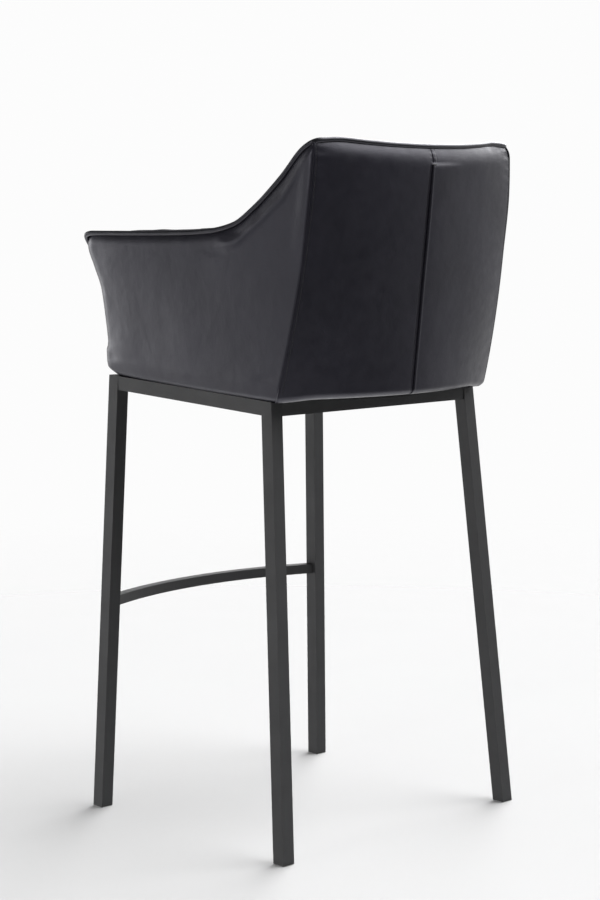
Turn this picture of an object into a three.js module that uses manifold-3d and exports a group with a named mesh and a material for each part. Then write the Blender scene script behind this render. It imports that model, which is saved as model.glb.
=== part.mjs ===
// Bar stool with a square-tube steel frame, a bowed footrest and an upholstered bucket seat with arms.
// Millimetres, +Z up. The stool faces -Y and its left side is +X. It stands on z = 0.
import * as THREE from 'three';
import { mergeVertices } from 'three/addons/utils/BufferGeometryUtils.js';
import Module from 'manifold-3d';

const wasm = await Module();
wasm.setup();

const GAP = 0.3; // clearance kept between pieces that touch

// ---- steel frame -------------------------------------------------------------------------------
const TUBE = 22; // side of the square leg and rail tube
const TUBE_WALL = 1.5;
const CAP_WALL = 2; // plate that closes the top of a leg
const FRAME_TOP = 692.5; // height of the frame's top face above y = 0
const FRAME_SLOPE = 0.054; // how much the top face drops for each millimetre towards the back
const FRONT_LEG = { foot: [254.8, -204.8], top: [227.5, -186.3], inward: 1 }; // outer corner, left leg
const REAR_LEG = { foot: [258.4, 248.8], top: [223, 186], inward: -1 };

const FOOTREST = { side: 16, wall: 1.2, top: 345, halfLength: 219, endY: -180, bow: 43 };
const GLIDE = { foot: 3.5, chamfer: 1.2, plugTop: 25 }; // heights of the plastic foot and its plug

// ---- seat fixing, in the frame's tilted plane, z = 0 on top of the frame -------------------------
const TAB = { width: 34, length: 46, thickness: 3, y: 128, clear: 0.8 };
const BOLT = { radius: 3, end: 14, headRadius: 6, headHeight: 4, socket: 2.3, socketDepth: 2.4 };
const WASHER = { radius: 8, thickness: 1.5, bore: 3.3 };
const TEE_NUT = { barrelRadius: 4.6, barrel: 9, flangeRadius: 10, flange: 1.5, bore: 3.3 };
const BOLT_HOLE = 3.6;
const TEE_NUT_HOLE = 4.9;
const DUST_COVER = {
  z: 0.3, thickness: 1, front: -172, rear: 172, halfFront: 206, halfRear: 200, bulge: 40,
};
const SEAT_BOARD = {
  z: 1.6, thickness: 12, front: -176, rear: 178, halfFront: 210, halfRear: 204, bulge: 56,
};
const APRON = { z: 0.4, height: 15, front: -184, rear: -178, halfWidth: 188 };
const CUSHION = {
  z: 16, height: 58, crown: 9, front: -183, rear: 166, halfFront: 187, halfRear: 179, bulge: 44,
};

// ---- bucket shell, measured on its outer face ----------------------------------------------------
const SHELL_LIFT = 1.6; // gap between the frame's top and the covers
const SHELL_BASE_REAR = 686; // lowest level of the shell behind the frame
const ROLL = 13; // radius of the covers' rounded lower edge
const REFERENCE = [702, 1052]; // heights that the shell's corners are given at
const CORNER_X = [229.5, 213];
const CORNER_Y = [209.5, 265];
const CENTRE_Y = [265, 304];
const ARM_HEIGHTS = [705, 926]; // heights that the arm's half widths are given at
const ARM_X = [232, 256];
const SIDE_BULGE = 5;
const FRONT_EDGE = [ // height, y of the arm's front edge
  [703, -172], [717, -183], [745, -181.5], [791, -172],
  [838, -176], [877, -193], [905, -204], [926, -206.5],
];
const SIDE_RIM = [ // share of the way back along the side, height of the piping's centre
  [0, 920], [0.035, 927], [0.3, 927.5], [0.5, 929.5], [0.6, 932.5], [0.69, 942], [0.77, 965],
  [0.866, 1005.5], [0.944, 1047], [0.975, 1057.5], [1, 1063],
];
const BACK_RIM = [ // share of the way from the middle to a corner, height of the piping's centre
  [0, 1058], [0.3, 1057], [0.6, 1060.5], [0.8, 1064], [1, 1063],
];
const PIPING = { radius: 4, inset: 3, lowest: 721 };
const TIP = { clear: 5.2, inset: 19, kneeInset: 12, kneeDrop: 9, shoulderInset: 6, straightDrop: 27 };

// Depth inwards from the outer face, share of the way along, and how far below the rim each ends.
const COVER = { depth: [0, 3], below: 6, roll: true };
const CORNER_END = 0.996; // share at which the side and back covers meet
const MITRE = { side: 0.0015, back: 0.0027 }; // share given up at the corner for each millimetre of depth
const BOARD = { depth: [5, 15], above: 9, below: 14, side: [0.03, 0.955], back: 0.94 };
const ARM_PAD = { depth: [16, 44], above: 16.5, proud: 4, side: [0.02, 0.85] };
const BACK_PAD = { depth: [16, 50], above: 16.5, proud: 3, back: 0.9 };
const ARM_FRONT = { depth: [3.4, 44], above: 16.5, below: 5, side: [0, 0.012] };
const PLACKET = { depth: [-1.5, -0.3], from: 14, below: 16, span: [-0.055, 0.006] };

const LOOKS = {
  powderCoat: { color: 0x2a2a2c, roughness: 0.55, metalness: 0.3 },
  zinc: { color: 0xb8bbc0, roughness: 0.35, metalness: 0.9 },
  plastic: { color: 0x151516, roughness: 0.6, metalness: 0 },
  plywood: { color: 0xb9935f, roughness: 0.75, metalness: 0 },
  leather: { color: 0x232327, roughness: 0.4, metalness: 0 },
  fleece: { color: 0x1c1c1c, roughness: 0.95, metalness: 0 },
};

// ---- scene graph: the right side is the left side's mirror image ---------------------------------
const stool = new THREE.Group();
const middle = new THREE.Group();
const sides = { left: new THREE.Group(), right: new THREE.Group() };
sides.right.scale.x = -1;
stool.add(middle, sides.left, sides.right);
const tilt = -Math.atan(FRAME_SLOPE);
const { lerp, clamp } = THREE.MathUtils;

function add(name, geometry, look, parent = middle) {
  const mesh = new THREE.Mesh(geometry, new THREE.MeshStandardMaterial(LOOKS[look]));
  mesh.name = name;
  parent.add(mesh);
  return mesh;
}

function addPair(name, geometry, look) {
  for (const side of ['left', 'right']) add(`${name}_${side}`, geometry, look, sides[side]);
}

// Lays a mesh made in the frame's tilted plane onto the frame.
function onFrame(mesh) {
  mesh.position.z = FRAME_TOP;
  mesh.rotation.x = tilt;
  return mesh;
}

// ---- geometry helpers ----------------------------------------------------------------------------
function signedVolume(geometry) {
  const [a, b, c] = [new THREE.Vector3(), new THREE.Vector3(), new THREE.Vector3()];
  const { index } = geometry;
  let sum = 0;
  for (let i = 0; i < index.count; i += 3) {
    a.fromBufferAttribute(geometry.attributes.position, index.getX(i));
    b.fromBufferAttribute(geometry.attributes.position, index.getX(i + 1));
    c.fromBufferAttribute(geometry.attributes.position, index.getX(i + 2));
    sum += a.dot(b.cross(c)) / 6;
  }
  return sum;
}

// A unit box, 0 to 1 on each axis and cut into segments, with each vertex placed by a function.
function placedBox(segments, place) {
  const box = new THREE.BoxGeometry(1, 1, 1, ...segments);
  box.translate(0.5, 0.5, 0.5);
  const { position } = box.attributes;
  for (let i = 0; i < position.count; i += 1) {
    position.setXYZ(i, ...place(position.getX(i), position.getY(i), position.getZ(i)));
  }
  if (signedVolume(box) < 0) {
    for (let i = 0; i < box.index.count; i += 3) {
      const first = box.index.getX(i);
      box.index.setX(i, box.index.getX(i + 1));
      box.index.setX(i + 1, first);
    }
  }
  box.computeVertexNormals();
  return box;
}

function toSolid(geometry) {
  const bare = geometry.clone();
  bare.deleteAttribute('normal');
  bare.deleteAttribute('uv');
  const merged = mergeVertices(bare, 1e-4);
  return new wasm.Manifold(new wasm.Mesh({
    numProp: 3,
    vertProperties: new Float32Array(merged.attributes.position.array),
    triVerts: new Uint32Array(merged.index.array),
  }));
}

function toGeometry(solid) {
  const mesh = solid.getMesh();
  const geometry = new THREE.BufferGeometry();
  geometry.setAttribute('position', new THREE.BufferAttribute(new Float32Array(mesh.vertProperties), 3));
  geometry.setIndex(new THREE.BufferAttribute(new Uint32Array(mesh.triVerts), 1));
  geometry.computeVertexNormals();
  return geometry;
}

const cut = (body, tool) => toGeometry(toSolid(body).subtract(toSolid(tool)));
const join = (one, other) => toGeometry(toSolid(one).add(toSolid(other)));

// An upright ring, turned from its section, with a bore or solid.
function ring(outer, z0, z1, bore = 0, segments = 24) {
  const section = [[bore, z0], [outer, z0], [outer, z1], [bore, z1], [bore, z0]];
  const points = section.map(([radius, z]) => new THREE.Vector2(radius, z));
  const turned = new THREE.LatheGeometry(points, segments);
  turned.rotateX(Math.PI / 2);
  return turned;
}

// A smooth function through the points of a table, which never overshoots them.
function curveThrough(table) {
  const slopes = table.map((point, i) => {
    if (i === 0 || i === table.length - 1) return 0;
    const before = (point[1] - table[i - 1][1]) / (point[0] - table[i - 1][0]);
    const after = (table[i + 1][1] - point[1]) / (table[i + 1][0] - point[0]);
    return before * after <= 0 ? 0 : (2 * before * after) / (before + after);
  });
  return (where) => {
    const x = clamp(where, table[0][0], table[table.length - 1][0]);
    const i = Math.max(1, table.findIndex((point) => point[0] >= x));
    const [a, b] = [table[i - 1], table[i]];
    const width = b[0] - a[0];
    const s = (x - a[0]) / width;
    const bend = s * (1 - s) * ((1 - s) * slopes[i - 1] - s * slopes[i]);
    return lerp(a[1], b[1], s * s * (3 - 2 * s)) + width * bend;
  };
}

// ---- legs, glides, rails and footrest ------------------------------------------------------------
const frameTop = (y) => FRAME_TOP - FRAME_SLOPE * y;

// Outer corner of a left leg at height z: legs are straight and splay outwards.
function legCorner(leg, z) {
  const share = z / frameTop(leg.top[1]);
  return [lerp(leg.foot[0], leg.top[0], share), lerp(leg.foot[1], leg.top[1], share)];
}

// A square block inside a leg's outline, drawn in from its faces by inset. Its two ends are
// given as functions of y, so that either can be level or slope with the frame.
function legBlock(leg, lower, upper, inset, insetBelow = inset) {
  return placedBox([1, 1, 1], (a, b, c) => {
    const end = c ? upper : lower;
    const drawnIn = c ? inset : insetBelow;
    const side = TUBE - 2 * drawnIn;
    const [x, cornerY] = legCorner(leg, end(leg.top[1]));
    const y = cornerY + leg.inward * (drawnIn + b * side);
    return [x - drawnIn - a * side, y, end(y)];
  });
}

const level = (z) => () => z;

function makeLeg(name, leg) {
  const bottom = GLIDE.foot + GAP;
  const tube = legBlock(leg, level(bottom), frameTop, 0);
  const bore = legBlock(leg, level(bottom - 1), (y) => frameTop(y) - CAP_WALL, TUBE_WALL);
  addPair(`leg_${name}`, cut(tube, bore), 'powderCoat');
}

function makeGlide(name, leg) {
  const plugInset = TUBE_WALL + GAP;
  const edge = legBlock(leg, level(0), level(GLIDE.chamfer), 0, GLIDE.chamfer);
  const foot = join(edge, legBlock(leg, level(GLIDE.chamfer), level(GLIDE.foot), 0));
  const plug = legBlock(leg, level(GLIDE.foot - 1), level(GLIDE.plugTop), plugInset);
  addPair(`glide_${name}`, join(foot, plug), 'plastic');
}

// A hollow rail whose top face lies in the frame's top, between two points of its outer top edge.
function railBlock(from, to, inwards, inset, reach) {
  const side = TUBE - 2 * inset;
  return placedBox([1, 1, 1], (a, b, c) => {
    const share = lerp(-reach, 1 + reach, a);
    const depth = inset + b * side;
    const x = lerp(from[0], to[0], share) + inwards[0] * depth;
    const y = lerp(from[1], to[1], share) + inwards[1] * depth;
    return [x, y, frameTop(y) - inset - (1 - c) * side];
  });
}

function railTube(from, to, inwards) {
  return cut(railBlock(from, to, inwards, 0, 0), railBlock(from, to, inwards, TUBE_WALL, 0.01));
}

function makeRails() {
  const [frontX, frontY] = FRONT_LEG.top;
  const [rearX, rearY] = REAR_LEG.top;
  const step = TUBE + GAP;
  addPair('rail', railTube([frontX, frontY + step], [rearX, rearY - step], [-1, 0]), 'powderCoat');
  const front = railTube([-(frontX - step), frontY], [frontX - step, frontY], [0, 1]);
  const rear = railTube([-(rearX - step), rearY], [rearX - step, rearY], [0, -1]);
  add('rail_front', front, 'powderCoat');
  add('rail_rear', rear, 'powderCoat');
}

// A flat arc-shaped bar between the front legs: radius and centre follow from its length and bow.
function arcBar(inset, halfLength) {
  const { halfLength: half, bow, endY, side, top } = FOOTREST;
  const radius = (half * half + bow * bow) / (2 * bow);
  const centreY = endY - bow + radius;
  const [inner, outer] = [radius + inset, radius + side - inset];
  const shape = new THREE.Shape();
  const [outerHalf, innerHalf] = [Math.asin(halfLength / outer), Math.asin(halfLength / inner)];
  const down = -Math.PI / 2;
  shape.absarc(0, centreY, outer, down - outerHalf, down + outerHalf, false);
  shape.absarc(0, centreY, inner, down + innerHalf, down - innerHalf, true);
  const settings = { depth: side - 2 * inset, bevelEnabled: false, curveSegments: 24 };
  const bar = new THREE.ExtrudeGeometry(shape, settings);
  bar.translate(0, 0, top - side + inset);
  return bar;
}

function makeFootrest() {
  const { halfLength, wall } = FOOTREST;
  add('footrest_bar', cut(arcBar(0, halfLength), arcBar(wall, halfLength + 1)), 'powderCoat');
}

// ---- seat board and the hardware that holds it ----------------------------------------------------
// Places of the four bolts, in the middle of tabs that meet the side rails' inner faces.
const boltPlaces = ['front', 'rear'].map((end) => {
  const y = end === 'front' ? -TAB.y : TAB.y;
  const share = (y - FRONT_LEG.top[1]) / (REAR_LEG.top[1] - FRONT_LEG.top[1]);
  const railInner = lerp(FRONT_LEG.top[0], REAR_LEG.top[0], share) - TUBE;
  return { end, x: railInner - TAB.clear - TAB.width / 2, y };
});

function plateShape({ front, rear, halfFront, halfRear, bulge }, holeRadius) {
  const shape = new THREE.Shape();
  shape.moveTo(-halfFront, front);
  shape.lineTo(halfFront, front);
  shape.lineTo(halfRear, rear);
  shape.quadraticCurveTo(0, rear + 2 * bulge, -halfRear, rear);
  shape.closePath();
  for (const { x, y } of boltPlaces) {
    for (const side of [-1, 1]) {
      const hole = new THREE.Path();
      hole.absarc(side * x, y, holeRadius, 0, 2 * Math.PI, false);
      shape.holes.push(hole);
    }
  }
  return shape;
}

function makePlate(name, plate, holeRadius, look) {
  const settings = { depth: plate.thickness, bevelEnabled: false, curveSegments: 12 };
  const geometry = new THREE.ExtrudeGeometry(plateShape(plate, holeRadius), settings);
  geometry.translate(0, 0, plate.z);
  onFrame(add(name, geometry, look));
}

function tabGeometry() {
  const outline = new THREE.Shape();
  outline.moveTo(-TAB.width / 2, -TAB.length / 2);
  outline.lineTo(TAB.width / 2, -TAB.length / 2);
  outline.lineTo(TAB.width / 2, TAB.length / 2);
  outline.lineTo(-TAB.width / 2, TAB.length / 2);
  outline.closePath();
  const hole = new THREE.Path();
  hole.absarc(0, 0, BOLT_HOLE, 0, 2 * Math.PI, false);
  outline.holes.push(hole);
  const settings = { depth: TAB.thickness, bevelEnabled: false, curveSegments: 12 };
  const tab = new THREE.ExtrudeGeometry(outline, settings);
  tab.translate(0, 0, -TAB.thickness);
  return tab;
}

function boltGeometry() {
  const headTop = -TAB.thickness - WASHER.thickness - 2 * GAP;
  const headBottom = headTop - BOLT.headHeight;
  const body = join(ring(BOLT.radius, headTop - 1, BOLT.end), ring(BOLT.headRadius, headBottom, headTop));
  const socket = ring(BOLT.socket, headBottom - 1, headBottom + BOLT.socketDepth, 0, 6);
  return cut(body, socket);
}

function makeSeatFixings() {
  const washerTop = -TAB.thickness - GAP;
  const boardTop = SEAT_BOARD.z + SEAT_BOARD.thickness;
  const flangeTop = boardTop + GAP + TEE_NUT.flange;
  const barrel = ring(TEE_NUT.barrelRadius, boardTop - TEE_NUT.barrel, flangeTop, TEE_NUT.bore);
  const flange = ring(TEE_NUT.flangeRadius, boardTop + GAP, flangeTop, TEE_NUT.bore);
  const pieces = {
    seat_tab: [tabGeometry(), 'powderCoat'],
    washer: [ring(WASHER.radius, washerTop - WASHER.thickness, washerTop, WASHER.bore), 'zinc'],
    bolt: [boltGeometry(), 'zinc'],
    tee_nut: [join(barrel, flange), 'zinc'],
  };
  for (const { end, x, y } of boltPlaces) {
    for (const side of ['left', 'right']) {
      const spot = new THREE.Group();
      onFrame(spot);
      sides[side].add(spot);
      for (const [name, [geometry, look]] of Object.entries(pieces)) {
        add(`${name}_${end}_${side}`, geometry, look, spot).position.set(x, y, 0);
      }
    }
  }
}

// A soft block with an arched back edge and a crowned top, standing on the seat board.
function makeCushion() {
  const cushion = placedBox([10, 8, 2], (a, b, c) => {
    const across = 2 * a - 1;
    const half = lerp(CUSHION.halfFront, CUSHION.halfRear, b);
    const back = CUSHION.rear + CUSHION.bulge * (1 - across * across);
    const crown = CUSHION.crown * (1 - across ** 4) * (1 - (2 * b - 1) ** 4);
    return [half * across, lerp(CUSHION.front, back, b), CUSHION.z + c * (CUSHION.height + crown)];
  });
  onFrame(add('seat_cushion', cushion, 'leather'));
}

function makeApron() {
  const apron = placedBox([1, 1, 1], (a, b, c) => [
    APRON.halfWidth * (2 * a - 1),
    lerp(APRON.front, APRON.rear, b),
    APRON.z + c * APRON.height,
  ]);
  onFrame(add('front_apron', apron, 'leather'));
}

// ---- bucket shell ----------------------------------------------------------------------------------
const frontEdge = curveThrough(FRONT_EDGE);
const sideRim = curveThrough(SIDE_RIM);
const backRim = curveThrough(BACK_RIM);

// Share of the shell's height, from its base at 0 to the top of the back at 1.
const shellShare = (z) => clamp((z - REFERENCE[0]) / (REFERENCE[1] - REFERENCE[0]), -0.05, 1.05);

function rearCorner(z) {
  const share = shellShare(z);
  const lean = 1 - Math.max(0, 1 - share) ** 1.7;
  return [lerp(...CORNER_X, Math.max(0, share) ** 1.2), lerp(...CORNER_Y, lean)];
}

// A point of the shell's outer face and the direction inwards from it, both level.
function sideFace(t, z) {
  const flare = clamp((z - ARM_HEIGHTS[0]) / (ARM_HEIGHTS[1] - ARM_HEIGHTS[0]), 0, 1);
  const [frontX, frontY] = [lerp(...ARM_X, flare), frontEdge(z)];
  const [rearX, rearY] = rearCorner(z);
  const bulge = SIDE_BULGE * 4 * t * (1 - t);
  const along = [rearX - frontX + SIDE_BULGE * 4 * (1 - 2 * t), rearY - frontY];
  const length = Math.hypot(...along);
  return {
    point: [lerp(frontX, rearX, t) + bulge, lerp(frontY, rearY, t)],
    inwards: [-along[1] / length, along[0] / length],
  };
}

function backFace(s, z) {
  const [cornerX, cornerY] = rearCorner(z);
  const arch = lerp(...CENTRE_Y, shellShare(z)) - cornerY;
  const slope = (-2 * s * arch) / cornerX;
  const length = Math.hypot(1, slope);
  return {
    point: [cornerX * s, cornerY + arch * (1 - s * s)],
    inwards: [slope / length, -1 / length],
  };
}

const baseAt = (y) => Math.max(frameTop(y) + SHELL_LIFT, SHELL_BASE_REAR);

// How far the covers draw in at a height above their lowest edge.
function rollInset(above) {
  const short = ROLL - clamp(above, 0, ROLL);
  return ROLL - Math.sqrt(ROLL * ROLL - short * short);
}

// How much longer a level drop has to be where the rim slopes, to keep the same clearance from it.
function steepness(face, rim, share) {
  const step = 0.01;
  const [before, after] = [Math.abs(share - step), Math.abs(share + step)];
  const z = rim(Math.abs(share));
  const [from, to] = [face(share - step, z).point, face(share + step, z).point];
  return Math.hypot(1, (rim(after) - rim(before)) / Math.hypot(to[0] - from[0], to[1] - from[1]));
}

// A shell of even depth that follows a face from one share to another, between two edges.
// Its rows crowd towards the base, where the covers roll under, and its far end can be mitred.
function shellPiece(face, rim, span, depth, edges, segments) {
  const { above = 0, below = 0, proud = 0, roll = false, mitre = 0 } = edges;
  const rollRows = roll ? 4 : 0;
  return placedBox([1, segments[0], segments[1] + rollRows], (a, b, c) => {
    const share = lerp(...span, b);
    const base = baseAt(face(share, REFERENCE[0]).point[1]) + above;
    const top = rim(Math.abs(share)) - below * steepness(face, rim, share) + proud;
    const row = Math.round(c * (segments[1] + rollRows));
    const rolled = ROLL * (1 - Math.cos((row / Math.max(rollRows, 1)) * (Math.PI / 2)));
    const started = roll ? base + ROLL : base;
    const z = row < rollRows ? base + rolled : lerp(started, top, (row - rollRows) / segments[1]);
    const inset = lerp(...depth, a) + (roll ? rollInset(z - base) : 0);
    const { point, inwards } = face(share - b * mitre * inset, z);
    return [point[0] + inwards[0] * inset, point[1] + inwards[1] * inset, z];
  });
}

function makeArms() {
  const edges = { ...COVER, mitre: MITRE.side };
  const cover = shellPiece(sideFace, sideRim, [0, CORNER_END], COVER.depth, edges, [22, 8]);
  addPair('cover_side', cover, 'leather');
  const board = shellPiece(sideFace, sideRim, BOARD.side, BOARD.depth, BOARD, [14, 4]);
  addPair('arm_board', board, 'plywood');
  const pad = shellPiece(sideFace, sideRim, ARM_PAD.side, ARM_PAD.depth, ARM_PAD, [14, 5]);
  addPair('arm_pad', pad, 'leather');
  const front = shellPiece(sideFace, sideRim, ARM_FRONT.side, ARM_FRONT.depth, ARM_FRONT, [1, 16]);
  addPair('arm_front', front, 'leather');
}

function makeBack() {
  const edges = { ...COVER, mitre: MITRE.back };
  const cover = shellPiece(backFace, backRim, [0.004, CORNER_END], COVER.depth, edges, [10, 8]);
  addPair('cover_back', cover, 'leather');
  const boardSpan = [-BOARD.back, BOARD.back];
  const padSpan = [-BACK_PAD.back, BACK_PAD.back];
  const board = shellPiece(backFace, backRim, boardSpan, BOARD.depth, BOARD, [16, 5]);
  add('back_board', board, 'plywood');
  const pad = shellPiece(backFace, backRim, padSpan, BACK_PAD.depth, BACK_PAD, [18, 6]);
  add('back_pad', pad, 'leather');
  const placket = { above: PLACKET.from, below: PLACKET.below };
  add('zip_placket', shellPiece(backFace, backRim, PLACKET.span, PLACKET.depth, placket, [2, 8]), 'leather');
}

// Evenly spaced values from one end to the other.
const steps = (from, to, count) => Array.from({ length: count + 1 }, (_, i) => lerp(from, to, i / count));

// A point of the piping in front of the arm, at a height and a distance in from the outer face.
function tipPoint(z, inset) {
  const { point, inwards } = sideFace(0, z);
  return new THREE.Vector3(point[0] + inwards[0] * inset, point[1] - TIP.clear, z);
}

// The piping runs up the front of one arm, along it, over the back and down the other arm.
function pipingHalf() {
  const top = sideRim(0);
  return [
    ...steps(PIPING.lowest, top - TIP.straightDrop, 8).map((z) => tipPoint(z, TIP.inset)),
    tipPoint(top - TIP.kneeDrop, TIP.kneeInset),
    tipPoint(top, TIP.shoulderInset),
    ...steps(0.025, 0.985, 30).map((t) => rimPoint(sideFace, t, sideRim(t))),
    ...steps(0.975, 0.06, 12).map((s) => rimPoint(backFace, s, backRim(s))),
  ];
}

function rimPoint(face, share, z) {
  const { point, inwards } = face(share, z);
  return new THREE.Vector3(point[0] + inwards[0] * PIPING.inset, point[1] + inwards[1] * PIPING.inset, z);
}

function makePiping() {
  const left = pipingHalf();
  const right = left.map((point) => new THREE.Vector3(-point.x, point.y, point.z)).reverse();
  const middlePoint = rimPoint(backFace, 0, backRim(0));
  const route = new THREE.CatmullRomCurve3([...left, middlePoint, ...right], false, 'centripetal');
  const section = new THREE.Shape();
  section.absarc(0, 0, PIPING.radius, 0, 2 * Math.PI, false);
  const settings = { extrudePath: route, steps: 120, curveSegments: 5, bevelEnabled: false };
  add('piping', new THREE.ExtrudeGeometry(section, settings), 'leather');
}

// ---- assembly --------------------------------------------------------------------------------------
for (const [name, leg] of [['front', FRONT_LEG], ['rear', REAR_LEG]]) {
  makeLeg(name, leg);
  makeGlide(name, leg);
}
makeRails();
makeFootrest();
makePlate('dust_cover', DUST_COVER, BOLT_HOLE, 'fleece');
makePlate('seat_board', SEAT_BOARD, TEE_NUT_HOLE, 'plywood');
makeSeatFixings();
makeApron();
makeCushion();
makeArms();
makeBack();
makePiping();

// The origin is the middle of the object's outline on the floor.
const box = new THREE.Box3().setFromObject(stool, true);
stool.position.y = -(box.min.y + box.max.y) / 2;

const model = new THREE.Group();
model.add(stool);
export default model;
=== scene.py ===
"""The looks of a bar stool: a welded square-tube frame under an upholstered bucket seat in black leather.

The shell's faces are worked out here in millimetres, by the same formulas as the stool's solids, and every
mesh is made in metres in the frame's own axes: +Z up, the stool faces -Y, its left side is +X.
"""
import math
import bmesh
import bpy
import numpy as np
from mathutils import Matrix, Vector
from mathutils.kdtree import KDTree


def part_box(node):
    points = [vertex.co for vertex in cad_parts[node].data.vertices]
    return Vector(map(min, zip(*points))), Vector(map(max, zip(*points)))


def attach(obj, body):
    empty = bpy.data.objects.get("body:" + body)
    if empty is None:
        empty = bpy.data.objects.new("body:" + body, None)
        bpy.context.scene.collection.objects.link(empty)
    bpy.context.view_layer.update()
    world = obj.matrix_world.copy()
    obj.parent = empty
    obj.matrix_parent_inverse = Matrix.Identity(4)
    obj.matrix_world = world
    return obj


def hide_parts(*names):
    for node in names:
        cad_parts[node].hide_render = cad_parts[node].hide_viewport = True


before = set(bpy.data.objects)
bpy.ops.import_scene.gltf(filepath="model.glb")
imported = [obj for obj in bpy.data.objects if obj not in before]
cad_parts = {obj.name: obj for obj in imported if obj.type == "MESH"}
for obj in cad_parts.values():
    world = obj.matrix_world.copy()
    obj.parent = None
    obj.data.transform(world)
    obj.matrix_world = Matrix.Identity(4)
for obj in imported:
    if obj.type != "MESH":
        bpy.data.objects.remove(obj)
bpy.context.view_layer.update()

MM = 0.001
BODY = "root"
SIDES = {"left": 1.0, "right": -1.0}

# ---- the driving dimensions, in millimetres ----
TUBE = 22.0
FRAME_TOP = 692.5
FRAME_SLOPE = 0.054
FOOTREST_FRONT = -239.0  # foremost point of the footrest before the origin is moved under the middle
SHELL_LIFT = 0.6
SHELL_BASE_REAR = 685.5
ROLL = 9.5  # radius of the covers' rounded lower edge
REFERENCE = (702.0, 1052.0)
CORNER_X = (229.5, 213.0)
CORNER_Y = (209.5, 265.0)
CORNER_SWELL = 1.4  # the padded corners stand this much fuller near their top
CENTRE_Y = (265.0, 304.0)
ARM_HEIGHTS = (705.0, 926.0)
ARM_X = (233.5, 257.5)
SIDE_BULGE = 5.0
FRONT_EDGE = [(703, -179), (717, -194), (745, -191.5), (758, -186), (791, -187), (838, -190.5), (877, -204.5),
              (905, -214.5), (926, -214)]
SIDE_RIM = [(0, 924), (0.035, 927), (0.3, 927.5), (0.5, 929.5), (0.6, 932.5), (0.69, 942), (0.77, 967),
            (0.866, 1008.5), (0.944, 1049), (0.975, 1058), (1, 1063)]
BACK_RIM = [(0, 1057.5), (0.3, 1058.5), (0.6, 1061.8), (0.8, 1064.8), (1, 1063)]
PIPING_RADIUS = 4.0
SIDE_LENGTH = 468.0  # of the side's face along the arm, and half the width of the back's face
BACK_HALF = 220.0

# The stool's origin lies under the middle of its outline, so all lengths along Y are shifted alike.
SHIFT_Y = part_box("footrest_bar")[0].y / MM - FOOTREST_FRONT


# ---- small mathematics ----
def lerp(a, b, t):
    return a + (b - a) * t


def smooth(t):
    t = np.clip(t, 0.0, 1.0)
    return t * t * (3 - 2 * t)


def curve_through(table):
    """A smooth function through the points of a table, which never overshoots them."""
    xs, ys = np.array(table, float).T
    step = np.diff(ys) / np.diff(xs)
    slopes = np.zeros(len(xs))
    rising = step[:-1] * step[1:] > 0
    slopes[1:-1][rising] = 2 * (step[:-1] * step[1:])[rising] / (step[:-1] + step[1:])[rising]

    def value(x):
        x = np.clip(x, xs[0], xs[-1])
        i = np.clip(np.searchsorted(xs, x), 1, len(xs) - 1)
        width = xs[i] - xs[i - 1]
        s = (x - xs[i - 1]) / width
        bend = s * (1 - s) * ((1 - s) * slopes[i - 1] - s * slopes[i])
        return lerp(ys[i - 1], ys[i], s * s * (3 - 2 * s)) + width * bend

    return value


front_edge = curve_through(FRONT_EDGE)
side_rim = curve_through(SIDE_RIM)
back_rim_half = curve_through(BACK_RIM)


def back_rim(s):
    return back_rim_half(np.abs(s))


# ---- the shell's faces ----
def frame_top(y):
    return FRAME_TOP - FRAME_SLOPE * y


def shell_share(z):
    return np.clip((z - REFERENCE[0]) / (REFERENCE[1] - REFERENCE[0]), -0.05, 1.05)


def rear_corner(z):
    share = shell_share(z)
    lean = 1 - np.maximum(0, 1 - share) ** 1.7
    swell = CORNER_SWELL * smooth((share - 0.55) / 0.3)
    return lerp(*CORNER_X, np.maximum(0, share) ** 1.2) + swell, lerp(*CORNER_Y, lean) + swell


def side_face(t, z):
    """Point of the left side's outer face and the level direction inwards from it."""
    flare = np.clip((z - ARM_HEIGHTS[0]) / (ARM_HEIGHTS[1] - ARM_HEIGHTS[0]), 0, 1)
    front_x, front_y = lerp(*ARM_X, flare), front_edge(z)
    rear_x, rear_y = rear_corner(z)
    x = lerp(front_x, rear_x, t) + SIDE_BULGE * 4 * t * (1 - t)
    y = lerp(front_y, rear_y, t)
    along_x, along_y = rear_x - front_x + SIDE_BULGE * 4 * (1 - 2 * t), rear_y - front_y
    length = np.hypot(along_x, along_y)
    return x, y, -along_y / length, along_x / length


def back_face(s, z):
    """Point of the back's outer face and the level direction inwards. s is 0 in the middle, 1 at the left."""
    corner_x, corner_y = rear_corner(z)
    arch = lerp(*CENTRE_Y, shell_share(z)) - corner_y
    slope = -2 * s * arch / corner_x
    length = np.hypot(1, slope)
    return corner_x * s, corner_y + arch * (1 - s * s), slope / length, -1 / length


def placed(face, share, z, inset):
    """Points in metres, at a distance inwards from a face."""
    x, y, inward_x, inward_y = face(share, z)
    points = [x + inward_x * inset, y + inward_y * inset + SHIFT_Y, z + 0 * x]
    return np.stack(np.broadcast_arrays(*points), -1) * MM


def base_at(face, share):
    """Lowest level of the shell: close over the frame, and a little higher in the middle of the back."""
    lowest = frame_top(face(share, REFERENCE[0])[1]) + SHELL_LIFT
    if face is side_face:
        return lowest
    return np.maximum(lowest, SHELL_BASE_REAR - 4 * smooth((np.abs(share) - 0.72) / 0.28))


def welt_inset(face, share):
    """How far in from the face the middle of the piping runs: further on the slope and on the back."""
    if face is side_face:
        slope = smooth((share - 0.6) / 0.15) * (1 - smooth((share - 0.88) / 0.12))
        return lerp(4.0, 5.0, smooth(share / 0.14)) + 3.0 * slope
    return lerp(5.0, 11.0, smooth((1 - np.abs(share)) / 0.28))


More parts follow.
